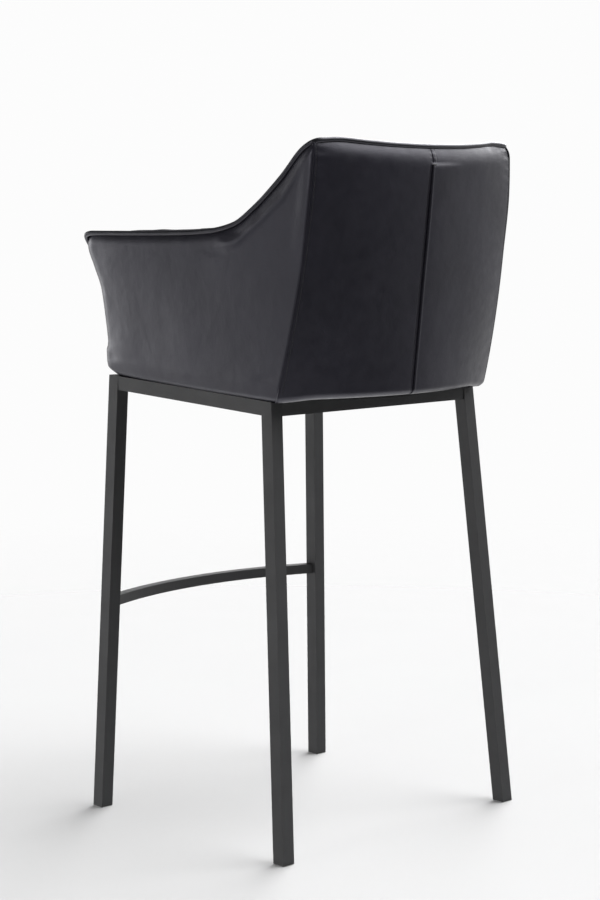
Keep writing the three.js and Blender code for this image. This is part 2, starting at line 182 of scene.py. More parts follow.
def steepness(face, rim, share):
    """How much longer a level drop is than the distance square to the rim, where the rim slopes."""
    step = 0.01
    z = rim(share)
    x0, y0, _, _ = face(share - step, z)
    x1, y1, _, _ = face(share + step, z)
    return np.hypot(1, (rim(share + step) - rim(share - step)) / np.hypot(x1 - x0, y1 - y0))


def waves(p, q, wavelength, seed):
    """A calm, repeatable field of gentle hollows, between about -1 and 1."""
    total = 0.0
    for i in range(5):
        angle = seed * 1.7 + i * 2.399
        pitch = 2 * math.pi / (wavelength * (1 + 0.31 * i))
        total = total + np.sin(pitch * (p * math.cos(angle) + q * math.sin(angle)) + seed * 3.1 + i * 1.3)
    return total / 3.2


# ---- meshes ----
def in_scene(name, data):
    obj = bpy.data.objects.new(name, data)
    bpy.context.scene.collection.objects.link(obj)
    return obj


def new_object(name, vertices, faces, smooth_shading=True):
    mesh = bpy.data.meshes.new(name)
    mesh.from_pydata([tuple(v) for v in np.asarray(vertices).reshape(-1, 3)], [], faces)
    mesh.update()
    if smooth_shading:
        mesh.polygons.foreach_set("use_smooth", [True] * len(mesh.polygons))
    return in_scene(name, mesh)


def grid_faces(rows, columns, close_columns=False):
    """Quads over a grid of vertices, which can close on itself across its columns."""
    last = columns if close_columns else columns - 1
    faces = []
    for i in range(rows - 1):
        for j in range(last):
            k = (j + 1) % columns
            faces.append((i * columns + j, i * columns + k, (i + 1) * columns + k, (i + 1) * columns + j))
    return faces


def facing_out(obj):
    """Turns all faces of a closed mesh outwards."""
    mesh = obj.data
    bpy.context.view_layer.update()
    made = bmesh.new()
    made.from_mesh(mesh)
    bmesh.ops.recalc_face_normals(made, faces=made.faces)
    made.to_mesh(mesh)
    made.free()
    return obj


def skin(name, outer, inner):
    """A closed thin piece between two grids of the same size."""
    rows, columns = outer.shape[:2]
    count = rows * columns
    faces = grid_faces(rows, columns)
    faces += [tuple(count + v for v in reversed(face)) for face in grid_faces(rows, columns)]
    rim = [j for j in range(columns)]
    rim += [i * columns + columns - 1 for i in range(1, rows)]
    rim += [(rows - 1) * columns + j for j in range(columns - 2, -1, -1)]
    rim += [i * columns for i in range(rows - 2, 0, -1)]
    for a, b in zip(rim, rim[1:] + rim[:1]):
        faces.append((b, a, count + a, count + b))
    vertices = np.concatenate([outer.reshape(-1, 3), inner.reshape(-1, 3)])
    return facing_out(new_object(name, vertices, faces))


def ring_faces(rows, columns, start=0):
    """Faces through closed rings of vertices, with flat ends, from vertex number start on."""
    faces = grid_faces(rows, columns, close_columns=True)
    faces.append(tuple(range(columns)))
    faces.append(tuple((rows - 1) * columns + j for j in reversed(range(columns))))
    return [tuple(start + v for v in face) for face in faces]


def loft(name, rings):
    """A closed piece through closed rings of points, with flat ends."""
    return facing_out(new_object(name, rings, ring_faces(*rings.shape[:2])))


def tube(name, path, radius, sides=14):
    """A round tube along a path of points in metres. radius is one number or one for each point."""
    path = np.asarray(path, float)
    radius = np.broadcast_to(np.asarray(radius, float), (len(path),))
    tangent = np.gradient(path, axis=0)
    tangent /= np.linalg.norm(tangent, axis=1)[:, None]
    across = np.cross(tangent[0], (0.3, 0.2, 0.9))
    rings = []
    for centre, ahead, size in zip(path, tangent, radius):
        across = across - ahead * (across @ ahead)
        across /= np.linalg.norm(across)
        other = np.cross(ahead, across)
        angles = np.arange(sides) * 2 * math.pi / sides
        rings.append(centre + size * (np.cos(angles)[:, None] * across + np.sin(angles)[:, None] * other))
    return loft(name, np.array(rings))


def mirrored(obj, name):
    """The piece's mirror image on the stool's other side."""
    copy = obj.copy()
    copy.data = obj.data.copy()
    copy.name = name
    copy.data.name = name
    flip = np.array([v.co for v in copy.data.vertices], float) * (-1, 1, 1)
    copy.data.vertices.foreach_set("co", flip.ravel())
    copy.data.flip_normals()
    bpy.context.scene.collection.objects.link(copy)
    return copy


def apply_modifiers(obj):
    graph = bpy.context.evaluated_depsgraph_get()
    mesh = bpy.data.meshes.new_from_object(obj.evaluated_get(graph))
    obj.modifiers.clear()
    obj.data = mesh
    return obj


def subdivide(obj, levels=1):
    modifier = obj.modifiers.new("subdivision", "SUBSURF")
    modifier.levels = modifier.render_levels = levels
    return apply_modifiers(obj)


# ---- materials ----
class Nodes:
    """The node tree of a material or the world, with short calls for the nodes that it is made of."""

    def __init__(self, owner, coordinates="Object"):
        self.owner = owner
        self.tree = owner.node_tree
        self.shader = self.tree.nodes.get("Principled BSDF")
        self.place = self.add("ShaderNodeTexCoord").outputs[coordinates]

    def add(self, kind, **values):
        node = self.tree.nodes.new(kind)
        for name, value in values.items():
            setattr(node, name, value)
        return node

    def link(self, output, target):
        self.tree.links.new(output, target)

    def fill(self, node, **values):
        """Sets or links a node's inputs, which are named with underscores in place of their spaces."""
        for name, value in values.items():
            socket = node.inputs[name.replace("_", " ")]
            if isinstance(value, bpy.types.NodeSocket):
                self.link(value, socket)
            else:
                socket.default_value = value
        return node

    def noise(self, scale, detail=4.0, roughness=0.55, stretch=None):
        node = self.add("ShaderNodeTexNoise")
        self.fill(node, Scale=scale, Detail=detail, Roughness=roughness, Vector=self.stretched(stretch))
        return node.outputs["Fac"]

    def voronoi(self, scale, feature="F1"):
        node = self.add("ShaderNodeTexVoronoi", feature=feature)
        return self.fill(node, Scale=scale, Vector=self.place).outputs["Distance"]

    def stretched(self, stretch):
        if stretch is None:
            return self.place
        mapping = self.add("ShaderNodeMapping")
        return self.fill(mapping, Scale=stretch, Vector=self.place).outputs["Vector"]

    def ramp(self, value, low, high, to_min=0.0, to_max=1.0, interpolation="LINEAR"):
        node = self.add("ShaderNodeMapRange", interpolation_type=interpolation)
        self.fill(node, Value=value, From_Min=low, From_Max=high, To_Min=to_min, To_Max=to_max)
        return node.outputs["Result"]

    def mix(self, factor, one, other):
        node = self.add("ShaderNodeMix", data_type="RGBA")
        self.link(factor, node.inputs["Factor"])
        for socket, colour in zip((node.inputs[6], node.inputs[7]), (one, other)):
            if isinstance(colour, tuple):
                socket.default_value = (*colour, 1.0)
            else:
                self.link(colour, socket)
        return node.outputs[2]

    def math(self, operation, one, other):
        node = self.add("ShaderNodeMath", operation=operation)
        for socket, value in zip(node.inputs, (one, other)):
            if isinstance(value, (int, float)):
                socket.default_value = value
            else:
                self.link(value, socket)
        return node.outputs[0]

    def bump(self, height, strength, distance, below=None):
        node = self.fill(self.add("ShaderNodeBump"), Strength=strength, Distance=distance, Height=height)
        if below is not None:
            self.link(below, node.inputs["Normal"])
        return node.outputs["Normal"]

    def finish(self, **values):
        """Fills the shader's inputs and returns the material."""
        self.fill(self.shader, **values)
        return self.owner


def surface(name):
    """The nodes of a new material."""
    material = bpy.data.materials.new(name)
    material.use_nodes = True
    return Nodes(material)


def leather(name, dark, light, roughness=(0.34, 0.46), grain=1.0):
    """Smooth coated leather: fine pebbled grain, soft creases, and a slightly uneven satin finish."""
    n = surface(name)
    colour = n.mix(n.ramp(n.noise(9.0, 3.0), 0.35, 0.65), dark, light)
    pebbles = n.ramp(n.voronoi(900.0, "SMOOTH_F1"), 0.0, 0.6)
    creases = n.noise(260.0, 5.0, 0.6)
    hand = n.noise(24.0, 2.0, 0.5)
    soft = n.bump(hand, 0.22 * grain, 0.004)
    fine = n.bump(creases, 0.16 * grain, 0.0006, soft)
    normal = n.bump(pebbles, 0.22 * grain, 0.0003, fine)
    sheen = n.ramp(n.noise(60.0, 4.0), 0.3, 0.7, *roughness)
    n.fill(n.shader, Specular_IOR_Level=0.5, Specular_Tint=(0.88, 0.865, 1.0, 1.0))
    n.fill(n.shader, Coat_Weight=0.06, Coat_Roughness=0.22)
    return n.finish(Base_Color=colour, Roughness=sheen, Normal=normal)


def powder_coat():
    """Matt black powder coat with its fine orange-peel texture, rubbed a little smoother here and there."""
    n = surface("powder_coat")
    colour = n.mix(n.noise(35.0, 5.0), (0.028, 0.028, 0.029), (0.038, 0.038, 0.040))
    peel = n.noise(1600.0, 2.0, 0.5)
    texture = n.bump(n.voronoi(1100.0, "SMOOTH_F1"), 0.25, 0.0003, n.bump(peel, 0.3, 0.0003))
    rubbed = n.ramp(n.noise(14.0, 5.0), 0.3, 0.75, 0.50, 0.62)
    return n.finish(Base_Color=colour, Roughness=rubbed, Normal=texture, Specular_IOR_Level=0.36)


def moulded_plastic():
    n = surface("glide_plastic")
    colour = n.mix(n.noise(120.0), (0.010, 0.010, 0.011), (0.018, 0.018, 0.018))
    texture = n.bump(n.noise(900.0, 3.0), 0.3, 0.0002)
    scuffed = n.ramp(n.noise(70.0, 6.0), 0.35, 0.7, 0.45, 0.75)
    return n.finish(Base_Color=colour, Roughness=scuffed, Normal=texture)


def zinc_plate():
    n = surface("zinc_plate")
    colour = n.mix(n.noise(160.0, 5.0), (0.42, 0.43, 0.45), (0.60, 0.61, 0.62))
    brushed = n.bump(n.noise(700.0, 2.0, 0.5, (1, 1, 6)), 0.15, 0.0001)
    dull = n.ramp(n.noise(220.0), 0.3, 0.7, 0.28, 0.5)
    return n.finish(Base_Color=colour, Metallic=1.0, Roughness=dull, Normal=brushed)


def plywood():
    """Black-stained plywood: wandering grain on the faces and thin plies through the thickness."""
    n = surface("plywood")
    figure = n.noise(14.0, 6.0, 0.6, (1.0, 7.0, 1.0))
    colour = n.mix(n.ramp(figure, 0.3, 0.7), (0.012, 0.010, 0.009), (0.024, 0.020, 0.017))
    wave = n.add("ShaderNodeTexWave", bands_direction="Z")
    n.fill(wave, Scale=90.0, Distortion=1.5, Vector=n.place)
    plies = n.mix(n.ramp(wave.outputs["Fac"], 0.3, 0.7, 0.0, 0.35), colour, (0.008, 0.007, 0.006))
    return n.finish(Base_Color=plies, Roughness=0.7, Normal=n.bump(figure, 0.25, 0.0004))


def fleece():
    """Non-woven dust fleece: matted fibres with small pressed points."""
    n = surface("dust_fleece")
    fibres = n.noise(900.0, 8.0, 0.7, (1.0, 0.35, 1.0))
    points = n.ramp(n.voronoi(420.0), 0.05, 0.25)
    colour = n.mix(fibres, (0.008, 0.008, 0.008), (0.030, 0.030, 0.031))
    normal = n.bump(points, 0.5, 0.0004, n.bump(fibres, 0.6, 0.0005))
    return n.finish(Base_Color=colour, Roughness=0.95, Normal=normal)


def thread():
    n = surface("thread")
    twist = n.noise(3000.0, 2.0)
    colour = n.mix(twist, (0.010, 0.010, 0.011), (0.030, 0.030, 0.033))
    return n.finish(Base_Color=colour, Roughness=0.6, Normal=n.bump(twist, 0.5, 0.0001))


LEATHER = leather("upholstery_leather", (0.0065, 0.0062, 0.0105), (0.0105, 0.0100, 0.0160))
PIPING_LEATHER = leather("piping_leather", (0.008, 0.008, 0.0095), (0.013, 0.013, 0.0155), (0.30, 0.42), 0.7)
COAT = powder_coat()
PLASTIC = moulded_plastic()
ZINC = zinc_plate()
PLYWOOD = plywood()
FLEECE = fleece()
THREAD = thread()


def finish_piece(obj, material, slot, *nodes):
    """Gives a new piece its material and its body, and hides the CAD nodes that it stands for. The slot is
    not used.
    """
    obj.data.materials.clear()
    obj.data.materials.append(material)
    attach(obj, BODY)
    if nodes:
        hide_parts(*nodes)
    return obj


# ---- outer covers ----
COVER_THICKNESS = 1.6
SEAM_DROP = 2.5  # the cover's edge lies this far below the middle of the piping
TUCK = 20.0  # how far the covers run in under the shell
FRONT_ROUND = (22.0, 11.0)  # the arm's rounded front edge: its reach along the side and across the front
FRONT_REACH = 17.0  # how far the side cover runs across the arm's front
FRONT_LEAN = 2.6  # the side curves in gently towards the arm's front
LOW_TURN = 3.0  # and towards its lower edge
SIDE_REACH = (17.0, 24.0)  # how far down the side's rounded top reaches, on the level arm and on its slope
BACK_REACH = 33.0
RIDGE, RIDGE_WIDTH = 2.0, 6.5
SIDE_FULLNESS, SIDE_HOLLOWS = 0.8, 0.5
CORNER_FULLNESS = 2.4  # of the side's upper rear edge
SEAM_ROUND = 5.0  # how near to a corner seam the covers begin to turn in
SEAM_DEPTH = 1.5
STITCH_INSET = 5.5  # topstitching beside the seams

# Over the arm's tip the piping runs down across the front: its insets there, and how far it has come down
TIP_INSETS = (4.0, 11.0, 15.0, 18.5, 20.0)
TIP_DROPS = (0.0, 8.0, 13.0, 19.0, 26.0)

# Small creases in the side covers: along the arm, height, half length, half width, depth
CREASES = [(10, 749, 12, 3.2, 1.5), (26, 731, 20, 6, 0.7), (34, 900, 30, 9, 0.8), (298, 902, 26, 7, 1.0),
           (330, 930, 30, 6, 0.6), (428, 716, 20, 6, 0.8)]


def cover_rows(count):
    """Shares of the way up a cover, closer together at both of its ends."""
    t = np.linspace(0, 1, count)
    return t - 0.09 * np.sin(2 * math.pi * t)


def roll_inset(above):
    short = ROLL - np.clip(above, 0, ROLL)
    return ROLL - np.sqrt(np.maximum(0, ROLL * ROLL - short * short))


def cover_levels(face, rim, share, rows, lowered=0.0):
    """Heights and insets of one column of a cover, from under the shell up to its seam."""
    base = base_at(face, share)
    top = rim(share) - SEAM_DROP * steepness(face, rim, share) - lowered
    under = np.linspace(1, 0, 5)[:-1]
    angles = np.linspace(0, math.pi / 2, 9)[:-1]
    z_under = np.full(len(under), base)
    inset_under = ROLL + TUCK * under
    z_roll = base + ROLL * (1 - np.cos(angles))
    z_up = lerp(base + ROLL, top, cover_rows(rows))
    z = np.concatenate([z_under, z_roll, z_up])
    inset = np.concatenate([inset_under, roll_inset(z_roll - base), np.zeros(rows)])
    return z, inset


def shoulder(face, rim, share, z):
    """How a cover curves in to the seam below the piping, with a low ridge along the arm's slope."""
    depth = welt_inset(face, share)
    if face is side_face:
        slope = smooth((share - 0.62) / 0.08) * (1 - smooth((share - 0.93) / 0.06))
        reach, power = lerp(*SIDE_REACH, slope), 2.1
        depth = depth + 0.4
    else:
        slope, reach, power = 0.0, BACK_REACH, 2.2
        depth = depth - 0.4 - 1.2 * smooth((1 - np.abs(share)) / 0.28)
    below = (rim(share) - z) / steepness(face, rim, share) - SEAM_DROP
    near = np.clip(1 - below / reach, 0, 1)
    ridge = slope * RIDGE * np.exp(-((below - reach) / RIDGE_WIDTH) ** 2)
    return depth * near ** power - ridge


def side_columns():
    """Columns of the side cover: share along the side, extra inset, and millimetres along the side."""
    reach, depth = FRONT_ROUND
    angles = np.linspace(0, math.pi / 2, 15)
    columns = [(3.0, FRONT_REACH + 1.5), (0.6, FRONT_REACH), (0.0, FRONT_REACH - 2.0)]
    columns += [(reach * (1 - math.cos(a)), depth * (1 - math.sin(a))) for a in angles]
    columns += [(a, 0.0) for a in np.linspace(reach + 4, SIDE_LENGTH - SEAM_ROUND - 4, 104)]
    for d in (6.5, 5.0, 3.6, 2.4, 1.4, 0.6, 0.0):
        columns.append((SIDE_LENGTH - d, SEAM_DEPTH * max(0.0, 1 - d / SEAM_ROUND) ** 2))
    return [(a / SIDE_LENGTH, inset, a) for a, inset in columns]


def side_cover_grid(depth):
    grid = []
    for share, extra, along in side_columns():
        lowered = np.interp(extra, TIP_INSETS, TIP_DROPS)
        z, inset = cover_levels(side_face, side_rim, np.array(share), 84, lowered)
        below_rim = side_rim(share) - z
        height = z - base_at(side_face, np.array(share))
        calm = smooth(height / 40) * smooth(below_rim / 40) * smooth(along / 60)
        calm = calm * smooth((SIDE_LENGTH - along) / 50)
        inset = inset + shoulder(side_face, side_rim, share, z) + extra + LOW_TURN * smooth(1 - height / 28)
        inset = inset + calm * (SIDE_HOLLOWS * waves(along, z, 120.0, 1.0) - SIDE_FULLNESS)
        inset = inset + FRONT_LEAN * max(0.0, 1 - along / 100) ** 2
        corner = CORNER_FULLNESS * math.exp(-((SIDE_LENGTH - along - 9) / 13) ** 2)
        inset = inset - corner * smooth((shell_share(z) - 0.5) / 0.3) * smooth(below_rim / 12)
        for a, level, length, width, dip in CREASES:
            inset = inset + dip * np.exp(-((along - a) / length) ** 2 - ((z - level) / width) ** 2)
        grid.append(placed(side_face, share, z, inset + depth))
    return np.array(grid)


def make_side_covers():
    left = skin("side_cover_left", side_cover_grid(0.0), side_cover_grid(COVER_THICKNESS))
    right = mirrored(left, "side_cover_right")
    for side, piece in (("left", left), ("right", right)):
        finish_piece(piece, LEATHER, "upholstery_leather", f"cover_side_{side}")


LAP = 1.4  # the right back panel's folded edge lies this far past the middle
LAP_RISE = 1.7  # and stands this proud
LAP_FADE = 90.0  # distance over which the lapped panel comes back down
LAP_TOP = 24.0  # length of plain seam between the piping and the top of the lap
LAP_STITCH = 6.0


def back_columns(side):
    """Columns of a back cover, from the middle to its corner: millimetres from the middle and extra inset."""
    columns = []
    if side > 0:
        for x in (-9, -6, -3, -1.5, -0.5, 0.4, 1.1, 1.8, 2.5, 3.3, 4.2, 5.1, 6, 6.9, 8, 10.5, 14, 18, 23):
            columns.append((float(x), 0.0))
    else:
        fold = 0.85
        for a in np.radians(np.linspace(-90, 90, 9)):
            columns.append((-LAP + fold - fold * math.cos(a), fold - fold * math.sin(a)))
        for x in (0.6, 1.4, 2.3, 3.2, 4.4, 6, 8, 10.5, 13, 16, 19.5, 23):
            columns.append((float(x), 0.0))
    columns += [(x, 0.0) for x in np.linspace(27.0, BACK_HALF - 16, 46)]
    for d in (13.0, 10.5, 8.4, 7.2, 6.4, 5.5, 4.6, 3.6, 2.4, 1.4, 0.6, 0.0):
        columns.append((BACK_HALF - d, SEAM_DEPTH * max(0.0, 1 - d / SEAM_ROUND) ** 2))
    return columns


def stitched_in(distance):
    """The shallow valley that a row of stitches pulls into the leather."""
    return 0.35 * np.exp(-(distance / 1.3) ** 2)


def lap_inset(side, x, below_rim):
    """The middle of the back: a plain seam, then below it the right panel's edge lapped over the left."""
    lapped = smooth((below_rim - LAP_TOP) / 5)
    seam = (1.2 * np.exp(-(x / 1.2) ** 2) + 0.35 * np.exp(-(x / 9) ** 2)) * smooth(below_rim / 5)
    gathers = 0.25 * np.sin(below_rim * 0.95) * np.exp(-((abs(x) - 3) / 2.2) ** 2)
    plain = (1 - lapped) * (seam + gathers)
    if side > 0:
        valley = 0.4 * math.exp(-((x - 1.6) / 1.2) ** 2) + stitched_in(x - LAP_STITCH)
        return plain + lapped * valley, lapped
    past = x + LAP
    crest = 0.5 * math.exp(-((past - 1.8) / 1.5) ** 2)
    return plain - lapped * (LAP_RISE * (1 - smooth(past / LAP_FADE)) + crest), lapped


def back_column(side, x, extra, depth):
    share = np.array(x / BACK_HALF)
    z, inset = cover_levels(back_face, back_rim, share, 96)
    below_rim = (back_rim(share) - z) / steepness(back_face, back_rim, share)
    height = z - base_at(back_face, share)
    from_corner = BACK_HALF - x
    calm = smooth(height / 40) * smooth(below_rim / 40) * smooth(from_corner / 50)
    dents = 0.6 * waves(x * side, z, 150.0, 2.0 + side) * calm
    middle, lapped = lap_inset(side, x, below_rim)
    fold = extra * (lapped if side < 0 and x < LAP_FADE else 1.0)
    upper = smooth((shell_share(z) - 0.6) / 0.25) * smooth(below_rim / 10)
    gathers = 0.35 * np.sin(below_rim * 0.42 + 1.0) * math.exp(-((from_corner - 12) / 9) ** 2) * upper
    inset = inset + shoulder(back_face, back_rim, share, z) + fold + middle + dents + gathers
    inset = inset + stitched_in(from_corner - STITCH_INSET) * smooth(below_rim / 8)
    return placed(back_face, side * share, z, inset + depth)


def back_cover_grid(side, depth):
    return np.array([back_column(side, x, extra, depth) for x, extra in back_columns(side)])


def make_back_covers():
    for side, sign in SIDES.items():
        piece = skin(f"back_cover_{side}", back_cover_grid(sign, 0.0), back_cover_grid(sign, COVER_THICKNESS))
        nodes = [f"cover_back_{side}"] + (["zip_placket"] if side == "right" else [])
        finish_piece(piece, LEATHER, "upholstery_leather", *nodes)


# ---- stitching ----
STITCH = {"pitch": 4.4, "length": 3.3, "radius": 0.42}


def stitch_row(name, path):
    """A row of stitches along a path in metres: short threads, thinner where they enter the leather."""
    marks = even(path, STITCH["pitch"] * MM)
    vertices, faces = [], []
    sides, shares = 6, np.array([-0.5, -0.36, 0.0, 0.36, 0.5])
    girth = np.array([0.35, 0.9, 1.0, 0.9, 0.35])
    for here, following in zip(marks, marks[1:]):
        ahead = (following - here) / np.linalg.norm(following - here)
        across = np.cross(ahead, (0.31, 0.22, 0.92))
        across /= np.linalg.norm(across)
        other = np.cross(ahead, across)
        start = len(vertices)
        for share, size in zip(shares, girth * STITCH["radius"] * MM):
            for a in np.arange(sides) * 2 * math.pi / sides:
                centre = (here + following) / 2 + ahead * share * STITCH["length"] * MM
                vertices.append(centre + size * (math.cos(a) * across + math.sin(a) * other))
        faces += ring_faces(len(shares), sides, start)
    row = facing_out(new_object(name, vertices, faces))
    return finish_piece(row, THREAD, "upholstery_leather")


def make_stitching():
    hidden = 14  # points of a column that lie under the shell or in its lower roll
    for side, sign in SIDES.items():
        column = back_column(sign, BACK_HALF - STITCH_INSET, 0.0, -0.1)
        stitch_row(f"corner_stitching_{side}", column[hidden:-2])
    column = back_column(1.0, LAP_STITCH, 0.0, -0.1)
    below = column[-1, 2] - column[:, 2]
    stitch_row("lap_stitching", column[(below > (LAP_TOP + 3) * MM) & (np.arange(len(column)) > hidden)])
    level = back_rim(0) - LAP_TOP - 3
    bar = [placed(back_face, x / BACK_HALF, level, -1.6) for x in (2.6, 1.5, 0, -2, -4, -5.5, -6.4)]
    tack = tube("bar_tack", bar, np.array([0.3, 0.8, 1.0, 1.0, 1.0, 0.8, 0.3]) * MM, 10)
    finish_piece(tack, THREAD, "upholstery_leather")


# ---- piping ----
TIP_INSET = 20.0
TIP_PROUD = 0.8


def piping_path():
    """The welt's centreline on the left half: up the arm's front, back along the arm, then over the back."""
    top = float(side_rim(0))
    heights = np.concatenate([np.linspace(722, top - 26, 30), [top - 19, top - 13, top - 8]])
    insets = np.concatenate([np.full(30, TIP_INSET), [TIP_INSET - 1.5, TIP_INSET - 5, TIP_INSET - 9]])
    front = [placed(side_face, 0.0, z, inset) for z, inset in zip(heights, insets)]
    front = [point - np.array([0, TIP_PROUD, 0]) * MM for point in front]
    corner = welt_inset(side_face, 1.0) + 2
    shares = np.linspace(0.004, 1 - corner / SIDE_LENGTH, 150)
    arm = [placed(side_face, t, side_rim(t), welt_inset(side_face, t)) for t in shares]
    shares = np.linspace(1 - corner / BACK_HALF, 0.0, 70)
    back = [placed(back_face, s, back_rim(s), welt_inset(back_face, s)) for s in shares]
    return smoothed(np.array(front + arm + back), 3)


def smoothed(path, rounds):
    for _ in range(rounds):
        path = np.concatenate([path[:1], (path[:-2] + 2 * path[1:-1] + path[2:]) / 4, path[-1:]])
    return path


def even(path, step):
    """The same path with its points a step apart, in metres."""
    lengths = np.concatenate([[0], np.cumsum(np.linalg.norm(np.diff(path, axis=0), axis=1))])
    marks = np.linspace(0, lengths[-1], max(2, int(round(lengths[-1] / step)) + 1))
    return np.stack([np.interp(marks, lengths, path[:, i]) for i in range(3)], -1)


def make_piping():
    half = piping_path()
    other = half[::-1][1:] * (-1, 1, 1)
    path = even(np.concatenate([half, other]), 0.004)
    along = np.arange(len(path)) * 4.0
    radius = (PIPING_RADIUS + 0.12 * waves(along, along * 0, 60.0, 4.0)) * MM
    piece = tube("welt_piping", path, radius, 16)
    finish_piece(piece, PIPING_LEATHER, "piping_leather", "piping")


# ---- stuffed pads by cloth simulation ----
PUFF_FRAMES = 20
PUFF_PRESSURE = 4.0


def coordinates(mesh):
    flat = np.empty(len(mesh.vertices) * 3)
    mesh.vertices.foreach_get("co", flat)
    return flat.reshape(-1, 3)


def carried_over(weights, places, new_places):
    """Weights given at one mesh's vertices, looked up for another mesh of the same shape."""
    tree = KDTree(len(places))
    for i, place in enumerate(places):
        tree.insert(place, i)
    tree.balance()
    found = []
    for place in new_places:
        near = tree.find_n(place, 3)
        share = np.array([1 / (distance + 1e-5) for _, _, distance in near])
        found.append(float(share @ weights[[i for _, i, _ in near]] / share.sum()))
    return np.array(found)


def puffed(obj, weights, voxel, cap):
    """Fills a pad: its mesh is made even, then a short cloth run swells it where its weight is under 1.

    voxel is the size of the even faces, and no point moves further than cap, both in millimetres.
    """
    places = coordinates(obj.data)
    remesh = obj.modifiers.new("even_faces", "REMESH")
    remesh.mode = "VOXEL"
    remesh.voxel_size = voxel * MM
    remesh.use_smooth_shade = True
    relax = obj.modifiers.new("relax", "SMOOTH")
    relax.factor, relax.iterations = 0.5, 3
    apply_modifiers(obj)
    start = coordinates(obj.data)
    held = np.clip(carried_over(weights, places, start), 0, 1)
    group = obj.vertex_groups.new(name="held")
    for i, weight in enumerate(held):
        group.add([i], weight, "REPLACE")
    cloth = obj.modifiers.new("cloth", "CLOTH")
    settings = cloth.settings
    settings.quality = 5
    settings.mass = 0.3
    settings.tension_stiffness = settings.compression_stiffness = 15.0
    settings.shear_stiffness = 8.0
    settings.bending_stiffness = 1.5
    settings.use_pressure = True
    settings.uniform_pressure_force = PUFF_PRESSURE
    settings.vertex_group_mass = "held"
    settings.effector_weights.gravity = 0.0
    cloth.collision_settings.use_self_collision = False
    cloth.point_cache.frame_start, cloth.point_cache.frame_end = 1, PUFF_FRAMES
    scene = bpy.context.scene
    for step in range(1, PUFF_FRAMES + 1):
        scene.frame_set(step)
    swollen = coordinates(obj.evaluated_get(bpy.context.evaluated_depsgraph_get()).data)
    moved = (swollen - start) * (1 - held)[:, None]
    length = np.linalg.norm(moved, axis=1)[:, None]
    moved *= np.minimum(1.0, cap * MM / np.maximum(length, 1e-9))
    obj.modifiers.clear()
    scene.frame_set(1)
    obj.data.vertices.foreach_set("co", (start + moved).ravel())
    obj.data.update()
    relax = obj.modifiers.new("relax", "SMOOTH")
    relax.factor, relax.iterations = 0.5, 2
    return subdivide(obj)


# ---- padding inside the bucket ----
MITRE_SIDE = 0.00122
MITRE_BACK = 0.00255
PAD_CALM = 26.0  # how near to its ends a pad stays in shape
PAD_FOOT = 16.0  # the pads' feet stand this far above the shell's base
PAD_MIDDLE = 27.0
ARM_PAD = {"depth": 44.0, "bulge": 3.0}
BACK_PAD = {"depth": 50.0, "bulge": 4.0, "crown": -1.4}


def pad_profile(rim, base, welt, depth, bulge, crown):
    """An inner pad's closed section, from its outer foot: inset, height, and how firmly it is held."""
    w = welt - 4.5
    section = [(16, base, 1), (16, lerp(base, rim, 0.5), 1), (16, rim - 19, 1)]
    section += [(10 + w, rim - 14.5, 1), (6.6 + w, rim - 10, 1), (6 + w, rim - 5, 1), (7.6 + w, rim - 0.5, 1)]
    section += [(10.5 + w, rim + 2.0 + 0.4 * crown, 1), (15 + w, rim + 2.6 + 0.8 * crown, 0.8)]
    section += [(21 + w * 0.8, rim + 2.8 + crown, 0.6), (28 + w * 0.6, rim + 2.2 + 0.8 * crown, 0.4)]
    section += [(34.5 + w * 0.5, rim + 0.4 * crown - 0.8, 0.2)]
    section += [(depth - 3.6, rim - 6, 0.1), (depth - 0.8, rim - 13, 0), (depth + 0.6, rim - 21, 0)]
    for share in np.linspace(0.88, 0.0, 22):
        firm = float(1 - smooth(share / 0.15))
        section.append((depth + bulge * math.sin(math.pi * share), lerp(base, rim - 30, share), firm))
    section += [(depth - 6, base - 3, 1), ((16 + depth) / 2, base - 3, 1), (20, base - 3, 1)]
    return section


def arm_pad_rings():
    """Rings of points and their firmness along the left arm, drawn in to the welt at the arm's front."""
    rings, weights = [], []
    ends = [0.0, 0.0035, 0.009, 0.018]
    draws = [9.0, 4.0, 1.2, 0.0]
    for u in np.concatenate([ends, np.linspace(0.03, 0.97, 70), [0.982, 0.991, 1.0]]):
        rim = float(side_rim(u))
        base = float(base_at(side_face, u)) + PAD_FOOT
        drawn = float(np.interp(u, ends, draws)) if u < ends[-1] else 0.0
        pinch = 3.0 * max(0.0, 1 - (1 - u) * SIDE_LENGTH / 9.0) ** 2
        crown = 0.6 + 2.6 * float(smooth((u - 0.16) / 0.1) * (1 - smooth((u - 0.55) / 0.14)))
        crown += 1.4 * math.exp(-((u - 0.36) / 0.03) ** 2)
        end = 1 - float(smooth(min(u - 0.02, 1 - u) * SIDE_LENGTH / PAD_CALM))
        ring = []
        welt = float(welt_inset(side_face, u))
        for inset, z, firm in pad_profile(rim, base, welt, crown=crown, **ARM_PAD):
            beyond = inset - PAD_MIDDLE
            pull = drawn * (0.5 if beyond < 0 and z > rim - 24 else 1.0)
            inset = PAD_MIDDLE + beyond * (1 - pull / 26.0) - (pinch if beyond > 0 else 0)
            z = z - (pull * 0.8 + pinch if z > rim - 30 else 0)
            ring.append(placed(side_face, u * (1 - MITRE_SIDE * inset), z, inset))
            weights.append(max(firm, end))
        rings.append(ring)
    return np.array(rings), np.array(weights)


